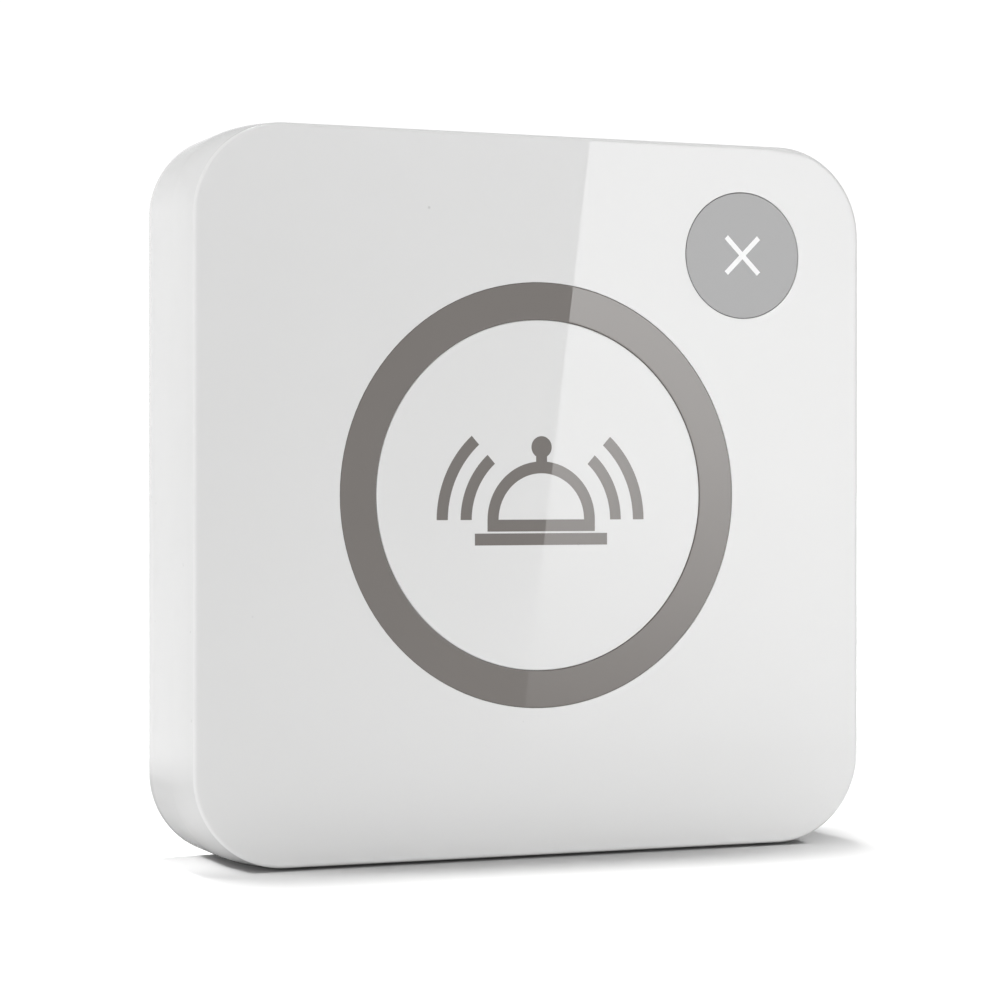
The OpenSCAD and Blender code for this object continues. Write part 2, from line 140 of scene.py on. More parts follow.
CHIP_PLACES = ((14, -31), (18, -31), (22, -31), (-22, -31), (-31, -24), (-26, -26), (26, -24),
               (31, -22), (31, -18), (-31, 21), (-27, 24), (14, 31), (8, 31), (2, 31))

cancel_low, cancel_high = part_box("cancel_button")
CANCEL_AT = Vector(((cancel_low.x + cancel_high.x) / 2 / MM, (cancel_low.z + cancel_high.z) / 2 / MM - HALF))

# The least angle at which two faces meet in a sharp edge, and at which an edge is rounded
SHARP_ANGLE = math.radians(38)
ROUNDED_ANGLE = math.radians(35)

UPRIGHT = (
    Matrix.Translation((0, BODY_D / 2 * MM, HALF * MM))
    @ Matrix.Rotation(math.radians(90), 4, "X")
    @ Matrix.Scale(MM, 4)
)


def new_object(name, data):
    made = bpy.data.objects.new(name, data)
    bpy.context.scene.collection.objects.link(made)
    return made


# ------------------------------
# Camera: the photograph's own viewing angle

CAMERA_AT = (-0.1312, -0.3181, 0.0438)
CAMERA_YAW = math.radians(22.158)
CAMERA_PITCH = math.radians(-0.233)
LENS = 102.05
SENSOR = 36

camera_data = bpy.data.cameras.new("camera")
camera_data.lens = LENS
camera_data.sensor_width = SENSOR
camera = new_object("camera", camera_data)
camera.location = CAMERA_AT
looking = Vector((
    math.sin(CAMERA_YAW) * math.cos(CAMERA_PITCH),
    math.cos(CAMERA_YAW) * math.cos(CAMERA_PITCH),
    math.sin(CAMERA_PITCH),
))
camera.rotation_euler = looking.to_track_quat("-Z", "Y").to_euler()
bpy.context.scene.camera = camera


# ------------------------------
# Node helpers

FLOAT = "NodeSocketFloat"
COLOUR = "NodeSocketColor"
VECTOR = "NodeSocketVector"
GEOMETRY = "NodeSocketGeometry"
MATERIAL = "NodeSocketMaterial"


def fill_inputs(tree, node, inputs):
    """Fills inputs by name or number: a socket is linked, and any other value is set."""
    for label, value in inputs.items():
        if isinstance(value, bpy.types.NodeSocket):
            tree.links.new(value, node.inputs[label])
        else:
            node.inputs[label].default_value = value


def add_node(tree, kind, inputs=None, **settings):
    node = tree.nodes.new(kind)
    for key, value in settings.items():
        setattr(node, key, value)
    fill_inputs(tree, node, inputs or {})
    return node


def new_tree(name, kind, inputs, outputs):
    """A node group with named sockets: the tree, the sockets that bring its inputs, and its end node."""
    tree = bpy.data.node_groups.new(name, kind)
    for label, socket_kind, *value in inputs:
        socket = tree.interface.new_socket(label, in_out="INPUT", socket_type=socket_kind)
        if value:
            socket.default_value = value[0]
    for label, socket_kind in outputs:
        tree.interface.new_socket(label, in_out="OUTPUT", socket_type=socket_kind)
    return tree, tree.nodes.new("NodeGroupInput").outputs, tree.nodes.new("NodeGroupOutput")


def noise_at(tree, coords, scale, detail, roughness=0.5):
    inputs = {"Vector": coords, "Scale": scale, "Detail": detail, "Roughness": roughness}
    return add_node(tree, "ShaderNodeTexNoise", inputs).outputs["Fac"]


def spread(tree, value, low, high, to_low, to_high):
    """Maps a value from low..high to to_low..to_high, clamped."""
    inputs = {"Value": value, "From Min": low, "From Max": high, "To Min": to_low, "To Max": to_high}
    return add_node(tree, "ShaderNodeMapRange", inputs).outputs["Result"]


def maths(tree, operation, a, b=0):
    return add_node(tree, "ShaderNodeMath", {0: a, 1: b}, operation=operation).outputs["Value"]


def times(tree, a, b):
    return maths(tree, "MULTIPLY", a, b)


def mixed(tree, factor, a, b):
    """The colour a where the factor is 0, and b where it is 1."""
    inputs = {"Factor": factor, "A": a, "B": b}
    return add_node(tree, "ShaderNodeMix", inputs, data_type="RGBA").outputs["Result"]


def object_coords(tree):
    return add_node(tree, "ShaderNodeTexCoord").outputs["Object"]


def parts_of(tree, vector):
    return add_node(tree, "ShaderNodeSeparateXYZ", {"Vector": vector}).outputs


# ------------------------------
# Shader groups

def build_moulding():
    """The skin of a moulded part: cloudy colour, uneven gloss and the slow waviness of the mould."""
    tree, given, end = new_tree(
        "moulding", "ShaderNodeTree",
        [("Colour", COLOUR, (0.7, 0.7, 0.7, 1)), ("Cloud", FLOAT, 0.02), ("Gloss Low", FLOAT, 0.05),
         ("Gloss High", FLOAT, 0.1), ("Grain Scale", FLOAT, 900), ("Grain", FLOAT, 0.0)],
        [("Colour", COLOUR), ("Roughness", FLOAT), ("Height", FLOAT)])
    coords = object_coords(tree)
    cloud = noise_at(tree, coords, 45, 3)
    darker = maths(tree, "SUBTRACT", 1, times(tree, given["Cloud"], cloud))
    shaded = add_node(tree, "ShaderNodeVectorMath", {0: given["Colour"], "Scale": darker}, operation="SCALE")
    uneven = noise_at(tree, coords, 160, 4, 0.6)
    gloss = spread(tree, uneven, 0.3, 0.7, given["Gloss Low"], given["Gloss High"])
    wave = times(tree, noise_at(tree, coords, 70, 1), 0.2)
    grain = times(tree, noise_at(tree, coords, given["Grain Scale"], 2), given["Grain"])
    height = maths(tree, "ADD", wave, grain)
    fill_inputs(tree, end, {"Colour": shaded.outputs["Vector"], "Roughness": gloss, "Height": height})
    return tree


def build_dust():
    """Sparse specks of dust: a mask that is 1 on a speck."""
    tree, given, end = new_tree(
        "dust", "ShaderNodeTree", [("Amount", FLOAT, 0.03), ("Scale", FLOAT, 420)], [("Mask", FLOAT)])
    cells = add_node(tree, "ShaderNodeTexVoronoi", {"Vector": object_coords(tree), "Scale": given["Scale"]})
    near = spread(tree, cells.outputs["Distance"], 0.04, 0.1, 1, 0)
    pick = add_node(tree, "ShaderNodeSeparateColor", {"Color": cells.outputs["Color"]})
    chosen = maths(tree, "LESS_THAN", pick.outputs["Red"], given["Amount"])
    fill_inputs(tree, end, {"Mask": times(tree, near, chosen)})
    return tree


def build_edge_wear():
    """Where handling has rubbed the edges: a mask from the curvature of the surface."""
    tree, given, end = new_tree("edge wear", "ShaderNodeTree", [("Amount", FLOAT, 0.4)], [("Mask", FLOAT)])
    bend = add_node(tree, "ShaderNodeNewGeometry").outputs["Pointiness"]
    edge = spread(tree, bend, 0.51, 0.58, 0, 1)
    broken = spread(tree, noise_at(tree, object_coords(tree), 500, 3), 0.4, 0.6, 0, 1)
    worn = times(tree, times(tree, edge, broken), given["Amount"])
    fill_inputs(tree, end, {"Mask": worn})
    return tree


def share_of_cells(tree, across, up, run, share):
    """1 on a random share of the runs of a grid, each so many cells long and high, and 0 elsewhere."""
    at_x = maths(tree, "FLOOR", maths(tree, "DIVIDE", across, run[0]))
    at_y = maths(tree, "FLOOR", maths(tree, "DIVIDE", up, run[1]))
    cell = add_node(tree, "ShaderNodeCombineXYZ", {"X": at_x, "Y": at_y, "Z": run[0] + 0.5})
    dice = add_node(tree, "ShaderNodeTexWhiteNoise", {"Vector": cell.outputs["Vector"]})
    return maths(tree, "LESS_THAN", dice.outputs["Value"], share)


def build_tracks():
    """Copper tracks and plated holes under solder mask, on a grid in the plane of x and z."""
    tree, given, end = new_tree(
        "tracks", "ShaderNodeTree", [("Pitch", FLOAT, 0.00254), ("Track Width", FLOAT, 0.13)],
        [("Tracks", FLOAT), ("Holes", FLOAT)])
    place = parts_of(tree, object_coords(tree))
    across = maths(tree, "DIVIDE", place["X"], given["Pitch"])
    up = maths(tree, "DIVIDE", place["Z"], given["Pitch"])
    off_x = maths(tree, "SUBTRACT", maths(tree, "FRACT", across), 0.5)
    off_y = maths(tree, "SUBTRACT", maths(tree, "FRACT", up), 0.5)
    level_run = share_of_cells(tree, across, up, (5, 1), 0.36)
    plumb_run = share_of_cells(tree, across, up, (1, 4), 0.34)
    level = maths(tree, "LESS_THAN", maths(tree, "ABSOLUTE", off_y), given["Track Width"])
    plumb = maths(tree, "LESS_THAN", maths(tree, "ABSOLUTE", off_x), given["Track Width"])
    level = times(tree, level, level_run)
    plumb = times(tree, plumb, maths(tree, "GREATER_THAN", plumb_run, level_run))
    squares = [times(tree, off, off) for off in (off_x, off_y)]
    in_hole = maths(tree, "LESS_THAN", maths(tree, "SQRT", maths(tree, "ADD", *squares)), 0.24)
    holes = times(tree, in_hole, share_of_cells(tree, across, up, (1, 1), 0.09))
    fill_inputs(tree, end, {"Tracks": maths(tree, "MAXIMUM", level, plumb), "Holes": holes})
    return tree


MOULDING = build_moulding()
TRACKS = build_tracks()
DUST = build_dust()
EDGE_WEAR = build_edge_wear()


# ------------------------------
# Materials

def placed(tree, group, **values):
    """A node of a group, with the inputs that are named here set."""
    inputs = {label.replace("_", " "): value for label, value in values.items()}
    return add_node(tree, "ShaderNodeGroup", inputs, node_tree=group)


def new_material(name):
    material = bpy.data.materials.new(name)
    material.use_nodes = True
    tree = material.node_tree
    return material, tree, tree.nodes["Principled BSDF"]


def rgba(colour, factor=1, plus=0):
    """A colour with full alpha, made lighter or darker."""
    return (*(min(1, c * factor + plus) for c in colour), 1)


def add_relief(tree, surface, height, strength, distance=0.00005):
    relief = add_node(tree, "ShaderNodeBump", {"Height": height, "Strength": strength, "Distance": distance})
    fill_inputs(tree, surface, {"Normal": relief.outputs["Normal"]})


def plastic(name, colour, gloss=(0.05, 0.09), cloud=0.015, grain=0.0, grain_scale=900.0,
            bump=0.02, wear=0.0, specular=0.5):
    """Moulded plastic with its mould texture, a few specks of dust and rubbed edges."""
    material, tree, surface = new_material(name)
    skin = placed(tree, MOULDING, Colour=rgba(colour), Cloud=cloud, Gloss_Low=gloss[0],
                  Gloss_High=gloss[1], Grain_Scale=grain_scale, Grain=grain).outputs
    specks = placed(tree, DUST).outputs["Mask"]
    worn = placed(tree, EDGE_WEAR, Amount=wear).outputs["Mask"]
    dusty = mixed(tree, specks, skin["Colour"], rgba(colour, 0.72))
    rough = maths(tree, "ADD", skin["Roughness"], times(tree, specks, 0.4))
    fill_inputs(tree, surface, {
        "Base Color": mixed(tree, worn, dusty, rgba(colour, 1.15, 0.02)), "Roughness": rough,
        "Specular IOR Level": specular, "IOR": 1.5})
    add_relief(tree, surface, skin["Height"], bump, 0.0002)
    return material


def metal(name, colour, gloss=(0.2, 0.35), streak=(1, 1, 1), wear=0.2):
    """Bright strip or wire, with fine drawing streaks."""
    material, tree, surface = new_material(name)
    stretch = add_node(tree, "ShaderNodeMapping", {"Vector": object_coords(tree), "Scale": streak})
    lines = noise_at(tree, stretch.outputs["Vector"], 900, 4, 0.7)
    worn = placed(tree, EDGE_WEAR, Amount=wear).outputs["Mask"]
    tint = mixed(tree, lines, rgba(colour, 0.86), rgba(colour))
    fill_inputs(tree, surface, {
        "Base Color": mixed(tree, worn, tint, rgba(colour, 1.2)),
        "Roughness": spread(tree, lines, 0.3, 0.7, *gloss), "Metallic": 1})
    add_relief(tree, surface, lines, 0.15)
    return material


def laminate(name, mask_colour, track_colour, edge_colour):
    """A circuit board: tracks under green mask on both faces, tinned holes, bare glass fibre at the edges."""
    material, tree, surface = new_material(name)
    pattern = placed(tree, TRACKS).outputs
    cloud = noise_at(tree, object_coords(tree), 260, 3)
    mask = mixed(tree, cloud, rgba(mask_colour, 0.85), rgba(mask_colour))
    printed = mixed(tree, pattern["Tracks"], mask, rgba(track_colour))
    tinned = mixed(tree, pattern["Holes"], printed, rgba((0.55, 0.55, 0.53)))
    facing = parts_of(tree, add_node(tree, "ShaderNodeNewGeometry").outputs["Normal"])
    flat = maths(tree, "GREATER_THAN", maths(tree, "ABSOLUTE", facing["Y"]), 0.5)
    fill_inputs(tree, surface, {
        "Base Color": mixed(tree, flat, rgba(edge_colour), tinned),
        "Roughness": spread(tree, pattern["Tracks"], 0, 1, 0.42, 0.3)})
    add_relief(tree, surface, maths(tree, "ADD", pattern["Tracks"], pattern["Holes"]), 0.4)
    return material


WHITE_FACE = (0.71, 0.71, 0.708)
TAUPE = (0.165, 0.151, 0.140)
CANCEL_GREY = (0.215, 0.215, 0.215)
MIRROR = (0.004, 0.010)

shell_white = plastic("shell white", WHITE_FACE, gloss=MIRROR, specular=0.28)
cap_white = plastic("cap white", WHITE_FACE, gloss=MIRROR, specular=0.28)
ring_taupe = plastic("ring taupe", TAUPE, gloss=MIRROR, cloud=0.05)
cap_grey = plastic("cap grey", CANCEL_GREY, gloss=MIRROR, cloud=0.03)
ink_taupe = plastic("ink taupe", TAUPE, gloss=MIRROR, cloud=0.05)
ink_white = plastic("ink white", (0.85, 0.85, 0.85), gloss=MIRROR, specular=0.22)
back_white = plastic(
    "back white", (0.68, 0.68, 0.67), gloss=(0.38, 0.5), grain=1.0, grain_scale=2600.0, bump=0.3)
moulded_black = plastic(
    "moulded black", (0.025, 0.025, 0.027), gloss=(0.35, 0.5), grain=0.6, bump=0.15, wear=0.4)
chip_black = plastic(
    "chip black", (0.02, 0.02, 0.022), gloss=(0.45, 0.6), grain=1.0, grain_scale=4000.0, bump=0.2)
board_laminate = laminate("board laminate", (0.012, 0.10, 0.045), (0.03, 0.17, 0.075), (0.34, 0.31, 0.17))
chip_ceramic = plastic("chip ceramic", (0.33, 0.26, 0.19), gloss=(0.35, 0.5), cloud=0.2)
gasket_blue = plastic("gasket blue", (0.05, 0.08, 0.16), gloss=(0.4, 0.55), cloud=0.1)
seal_rubber = plastic("seal rubber", (0.02, 0.02, 0.021), gloss=(0.5, 0.65), grain=0.6, bump=0.1)
spring_steel = metal("spring steel", (0.62, 0.62, 0.60), streak=(1, 1, 12))
cell_steel = metal("cell steel", (0.66, 0.66, 0.64), gloss=(0.18, 0.3), streak=(1, 10, 1))
contact_brass = metal("contact brass", (0.72, 0.55, 0.25), streak=(12, 1, 1))
coil_copper = metal("coil copper", (0.60, 0.28, 0.14), gloss=(0.15, 0.25))
bright_tin = metal("bright tin", (0.70, 0.70, 0.68), gloss=(0.25, 0.4), wear=0.0)
screw_zinc = metal("screw zinc", (0.58, 0.58, 0.57), gloss=(0.2, 0.35), streak=(1, 8, 1), wear=0.4)


# ------------------------------
# Shapes

def softened(corners, closed=False, steps=5, hold=0.04):
    """A profile with each corner (x, z, radius) rounded, and a close point held on both sides."""
    points = []
    for i, (x, z, radius) in enumerate(corners):
        here = Vector((x, z))
        if radius == 0 or (not closed and i in (0, len(corners) - 1)):
            points.append(here)
            continue
        back = (Vector(corners[i - 1][:2]) - here).normalized()
        on = (Vector(corners[(i + 1) % len(corners)][:2]) - here).normalized()
        half_turn = back.angle(on) / 2
        setback = radius / math.tan(half_turn)
        centre = here + (back + on).normalized() * radius / math.sin(half_turn)
        first = here + back * setback - centre
        last = here + on * setback - centre
        sweep = math.pi - 2 * half_turn
        side = 1 if first.x * last.y - first.y * last.x > 0 else -1
        points.append(here + back * (setback + hold))
        for k in range(steps + 1):
            turn = Matrix.Rotation(side * sweep * k / steps, 2)
            points.append(centre + turn @ first)
        points.append(here + on * (setback + hold))
    return points


def rounded_square(half, radius, corner_steps=20, side_steps=10):
    """The points of a square with round corners, counter-clockwise from the foot of the right side."""
    straight = half - radius
    points = []
    for quarter in range(4):
        turn = Matrix.Rotation(math.radians(90 * quarter), 2)
        for k in range(side_steps):
            points.append(turn @ Vector((half, -straight + 2 * straight * k / side_steps)))
        for k in range(corner_steps):
            a = math.radians(90) * k / corner_steps
            points.append(turn @ Vector((straight + radius * math.cos(a), straight + radius * math.sin(a))))
    return points


def circle(radius, centre=(0, 0), count=128):
    steps = [math.tau * k / count for k in range(count)]
    return [Vector((centre[0] + radius * math.cos(a), centre[1] + radius * math.sin(a))) for a in steps]


def add_loop(bm, points, z):
    return [bm.verts.new((p[0], p[1], z)) for p in points]


def join_loops(bm, *loops):
    """Walls from each loop to the next."""
    for first, second in zip(loops, loops[1:]):
        for k in range(len(first)):
            m = (k + 1) % len(first)
            bm.faces.new((first[k], first[m], second[m], second[k]))


def fill_flat(bm, *loops):
    """Fills the flat area between an outer loop and the holes in it."""
    edges = []
    for loop in loops:
        for k in range(len(loop)):
            pair = (loop[k], loop[(k + 1) % len(loop)])
            edges.append(bm.edges.get(pair) or bm.edges.new(pair))
    bmesh.ops.triangle_fill(bm, use_beauty=True, edges=edges)


def turn_profile(bm, profile, centre=(0, 0), count=128, closed=False):
    """Spins a profile of (radius, z) round an upright axis. Points on the axis become one vertex."""
    loops = []
    for radius, z in profile:
        if radius < 1e-6:
            loops.append([bm.verts.new((centre[0], centre[1], z))])
        else:
            loops.append(add_loop(bm, circle(radius, centre, count), z))
    if closed:
        loops.append(loops[0])
    for first, second in zip(loops, loops[1:]):
        if len(first) == 1 and len(second) == 1:
            continue
        if len(first) == 1 or len(second) == 1:
            hub, rim = (first[0], second) if len(first) == 1 else (second[0], first)
            for k in range(count):
                bm.faces.new((hub, rim[k], rim[(k + 1) % count]))
        else:
            join_loops(bm, first, second)


def turned(profile, *centre, **settings):
    """A new drawing with one turned profile."""
    bm = bmesh.new()
    turn_profile(bm, profile, *centre, **settings)
    return bm


def prism(bm, outline, low, high):
    """A flat outline raised from one height to another."""
    bottom = add_loop(bm, outline, low)
    top = add_loop(bm, outline, high)
    join_loops(bm, bottom, top)
    bm.faces.new(bottom[::-1])
    bm.faces.new(top)


def to_mesh(bm, name):
    bmesh.ops.recalc_face_normals(bm, faces=bm.faces)
    mesh = bpy.data.meshes.new(name)
    bm.to_mesh(mesh)
    bm.free()
    mesh.shade_smooth()
    mesh.set_sharp_from_angle(angle=SHARP_ANGLE)
    return mesh


def prism_mesh(low, high, *outlines):
    """A mesh of flat outlines raised from one height to another."""
    bm = bmesh.new()
    for outline in outlines:
        prism(bm, outline, low, high)
    return to_mesh(bm, "raised")


def soft_block(outline, low, high, width):
    """A mesh of a block with its edges rounded."""
    bm = bmesh.new()
    prism(bm, outline, low, high)
    bmesh.ops.bevel(bm, geom=bm.edges[:], offset=width, segments=2, affect="EDGES")
    return to_mesh(bm, "block")


def plain_mesh(thing):
    """The mesh of an object as its modifiers leave it."""
    graph = bpy.context.evaluated_depsgraph_get()
    return bpy.data.meshes.new_from_object(thing.evaluated_get(graph))


def cut_out(mesh, *cutters):
    """The mesh with the shapes of the cutter meshes taken out of it."""
    work = new_object("work", mesh)
    tools = [new_object("cutter", cutter) for cutter in cutters]
    for tool in tools:
        step = work.modifiers.new("cut", "BOOLEAN")
        step.operation = "DIFFERENCE"
        step.solver = "EXACT"
        step.object = tool
    result = plain_mesh(work)
    for spare in [work] + tools:
        bpy.data.objects.remove(spare)
    return result


def set_material(mesh, material):
    mesh.materials.clear()
    mesh.materials.append(material)


def to_piece(bm, name, material, slot, *replaced, body="housing"):
    """Sets a drawing upright in the frame, shades it and lets it ride on its body."""
    mesh = to_mesh(bm, name)
    mesh.transform(UPRIGHT)
    set_material(mesh, material)
    piece = new_object(name, mesh)
    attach(piece, body)
    if replaced:
        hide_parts(*replaced)


# ------------------------------
# Geometry Nodes for what repeats

def geometry_tree(name, *inputs):
    """A tree with named inputs between its Geometry and its Material."""
    inputs = [("Geometry", GEOMETRY), *inputs, ("Material", MATERIAL)]
    return new_tree(name, "GeometryNodeTree", inputs, [("Geometry", GEOMETRY)])


def finish_tree(tree, given, end, geometry):
    """Ends a tree: real copies in place of instances, and the material."""
    real = add_node(tree, "GeometryNodeRealizeInstances", {"Geometry": geometry})
    coat = add_node(tree, "GeometryNodeSetMaterial", {
        "Geometry": real.outputs["Geometry"], "Material": given["Material"]})
    fill_inputs(tree, end, {"Geometry": coat.outputs["Geometry"]})
    return tree


def copies_on_points(tree, given, shape):
    """Sets a shape on each point, turned by the point's own attribute."""
    turn = add_node(tree, "GeometryNodeInputNamedAttribute", {"Name": "turn"}, data_type="FLOAT")
    spin = add_node(tree, "ShaderNodeCombineXYZ", {"Z": turn.outputs["Attribute"]})
    copies = add_node(tree, "GeometryNodeInstanceOnPoints", {
        "Points": given["Geometry"], "Instance": shape, "Rotation": spin.outputs["Vector"]})
    return copies.outputs["Instances"]


def build_block_tree():
    """Blocks of one size, one on each point, such as ribs, leads and chip parts."""
    tree, given, end = geometry_tree("blocks", ("Size", VECTOR, (1, 1, 1)), ("Offset", VECTOR, (0, 0, 0)))
    cube = add_node(tree, "GeometryNodeMeshCube", {"Size": given["Size"]})
    shift = add_node(tree, "GeometryNodeTransform", {
        "Geometry": cube.outputs["Mesh"], "Translation": given["Offset"]})
    return finish_tree(tree, given, end, copies_on_points(tree, given, shift.outputs["Geometry"]))


def build_copy_tree():
    """Copies of one drawn shape, one on each point, such as screws and board bosses."""
    tree, given, end = geometry_tree("copies", ("Shape", "NodeSocketObject"))
    shape = add_node(tree, "GeometryNodeObjectInfo", {"Object": given["Shape"]})
    return finish_tree(tree, given, end, copies_on_points(tree, given, shape.outputs["Geometry"]))


def build_coil_tree():
    """A wound wire: a spiral along y with a straight leg at each end, swept with a round section."""
    tree, given, end = geometry_tree(
        "coil", ("Turns", FLOAT, 10.0), ("Coil Radius", FLOAT, 2.1), ("Coil Length", FLOAT, 16.0),
        ("Wire Radius", FLOAT, 0.4), ("Leg Length", FLOAT, 2.8), ("Centre", VECTOR, (0, 0, 0)))
    radius, length = given["Coil Radius"], given["Coil Length"]
    spiral = add_node(tree, "GeometryNodeCurveSpiral", {
        "Resolution": 24, "Rotations": given["Turns"], "Height": length,
        "Start Radius": radius, "End Radius": radius})
    laid = add_node(tree, "GeometryNodeTransform", {
        "Geometry": spiral.outputs["Curve"], "Rotation": (math.radians(-90), 0, 0)})
    parts = add_node(tree, "GeometryNodeJoinGeometry", {"Geometry": laid.outputs["Geometry"]})
    below = times(tree, given["Leg Length"], -1)
    for y in (0, length):
        head, foot = [
            add_node(tree, "ShaderNodeCombineXYZ", {"X": radius, "Y": y, "Z": z}) for z in (0, below)]
        leg = add_node(tree, "GeometryNodeCurvePrimitiveLine", {
            "Start": head.outputs["Vector"], "End": foot.outputs["Vector"]})
        fill_inputs(tree, parts, {"Geometry": leg.outputs["Curve"]})
    section = add_node(tree, "GeometryNodeCurvePrimitiveCircle", {
        "Resolution": 12, "Radius": given["Wire Radius"]})
    swept = add_node(tree, "GeometryNodeCurveToMesh", {
        "Curve": parts.outputs["Geometry"], "Profile Curve": section.outputs["Curve"], "Fill Caps": True})
    moved = add_node(tree, "GeometryNodeTransform", {
        "Geometry": swept.outputs["Mesh"], "Translation": given["Centre"]})
    return finish_tree(tree, given, end, moved.outputs["Geometry"])


BLOCKS = build_block_tree()
COPIES = build_copy_tree()
COIL = build_coil_tree()


def points_mesh(places):
    """Loose points (x, y, z, turn in degrees) for a tree to work on."""
    mesh = bpy.data.meshes.new("points")
    mesh.from_pydata([place[:3] for place in places], [], [])
    turns = mesh.attributes.new("turn", "FLOAT", "POINT")
    turns.data.foreach_set("value", [math.radians(place[3]) for place in places])
    return mesh


def made_by(tree, places, **values):
    """The plain mesh that a tree, with its named inputs set, makes of places (x, y, z, turn)."""
    maker = new_object("maker", points_mesh(places))
    step = maker.modifiers.new("make", "NODES")
    step.node_group = tree
    for item in tree.interface.items_tree:
        label = item.name.replace(" ", "_")
        if item.item_type == "SOCKET" and item.in_out == "INPUT" and label in values:
            step[item.identifier] = values[label]
    mesh = plain_mesh(maker)
    bpy.data.objects.remove(maker)
    return mesh


def blocks_at(places, material, size, up=0.0, across=0.0):
    """Blocks of one size on places, moved by so much up and across."""
    return made_by(BLOCKS, places, Size=size, Offset=(across, 0.0, up), Material=material)


def copied(bm, places, material):
    """Copies a drawing to each place."""
    shape = new_object("shape", to_mesh(bm, "shape"))
    mesh = made_by(COPIES, places, Shape=shape, Material=material)
    bpy.data.objects.remove(shape)
    return mesh


def drawing_of(*meshes):
    bm = bmesh.new()
    for mesh in meshes:
        bm.from_mesh(mesh)
    return bm


# ------------------------------
# The housing

def skin_at(height):
    """Half width and corner radius of the outer skin at a height above the back face."""
    share = min(1, (BODY_D - height) / FLARE_DEPTH)
    half = HALF - FLARE + FLARE * (2 * share - share * share)
    return half, FRONT_CORNER_R + (BACK_CORNER_R - FRONT_CORNER_R) * share


def outer_loops(flare_steps=14, edge_steps=8):
    """The outer skin as (half width, corner radius, height), from the back rim to the front face."""
    loops = []
    for a in (0, 0.4, 0.8, 1.2, math.pi / 2):
        inset = RIM_ROUND * (1 - math.sin(a))
        loops.append((HALF - inset, BACK_CORNER_R - inset, RIM_ROUND * (1 - math.cos(a))))
    loops += [(HALF, BACK_CORNER_R, 2.0), (HALF, BACK_CORNER_R, 6.0)]
    flare_start = BODY_D - FLARE_DEPTH
    edge_start = BODY_D - EDGE_R
    for k in range(flare_steps + 1):
        height = flare_start + (edge_start - flare_start) * k / flare_steps
        loops.append((*skin_at(height), height))
    half, radius = skin_at(edge_start)
    for k in range(1, edge_steps + 1):
        a = math.radians(90) * k / edge_steps
        inset = EDGE_R * (1 - math.cos(a))
        loops.append((half - inset, radius - inset, edge_start + EDGE_R * math.sin(a)))
    loops.append((half - EDGE_R - 0.05, radius - EDGE_R - 0.05, BODY_D))
    return loops


def add_hole(bm, centre, radius, lip, profile, count=128):
    """The wall of a hole in the face, from its rounded lip inwards. Returns its first and last loops."""
    corners = softened([(radius + 1, BODY_D, 0), (radius, BODY_D, lip)] + profile, steps=4)
    loops = [add_loop(bm, circle(r, centre, count), z) for r, z in corners[1:]]
    join_loops(bm, *loops)
    return loops[0], loops[-1]


def build_front_cover():
    bm = bmesh.new()
    outer = [add_loop(bm, rounded_square(half, radius), z) for half, radius, z in outer_loops()]
    join_loops(bm, *outer)
    seat_r = RING_R + SEAT_GAP
    bore_r = CALL_R + BORE_LEDGE
    cancel_r = CANCEL_R + FACE_GAP
    ring_hole = add_hole(bm, (0, 0), seat_r, 0.05, [
        (seat_r, RING_SEAT, 0), (bore_r, RING_SEAT, 0), (bore_r, CEILING, 0)])
    cancel_hole = add_hole(bm, CANCEL_AT, cancel_r, 0.06, [(cancel_r, CEILING, 0)], count=96)
    fill_flat(bm, outer[-1], ring_hole[0], cancel_hole[0])
    pocket = HALF - WALL
    inner = [add_loop(bm, rounded_square(pocket, POCKET_R), z) for z in (CEILING, 8.0, 2.2, 0.1)]
    inner.append(add_loop(bm, rounded_square(pocket + 0.1, POCKET_R + 0.1), 0))
    join_loops(bm, *inner, outer[0])
    fill_flat(bm, inner[0], ring_hole[1], cancel_hole[1])
    notch = prism_mesh(-1, PRY_H, bar(PRY_W, 2 * WALL + 2, (0, -HALF)))
    whole = drawing_of(cut_out(to_mesh(bm, "shell"), notch), *inner_features())
    to_piece(whole, "front_shell", shell_white, "white_shell", "front_cover")


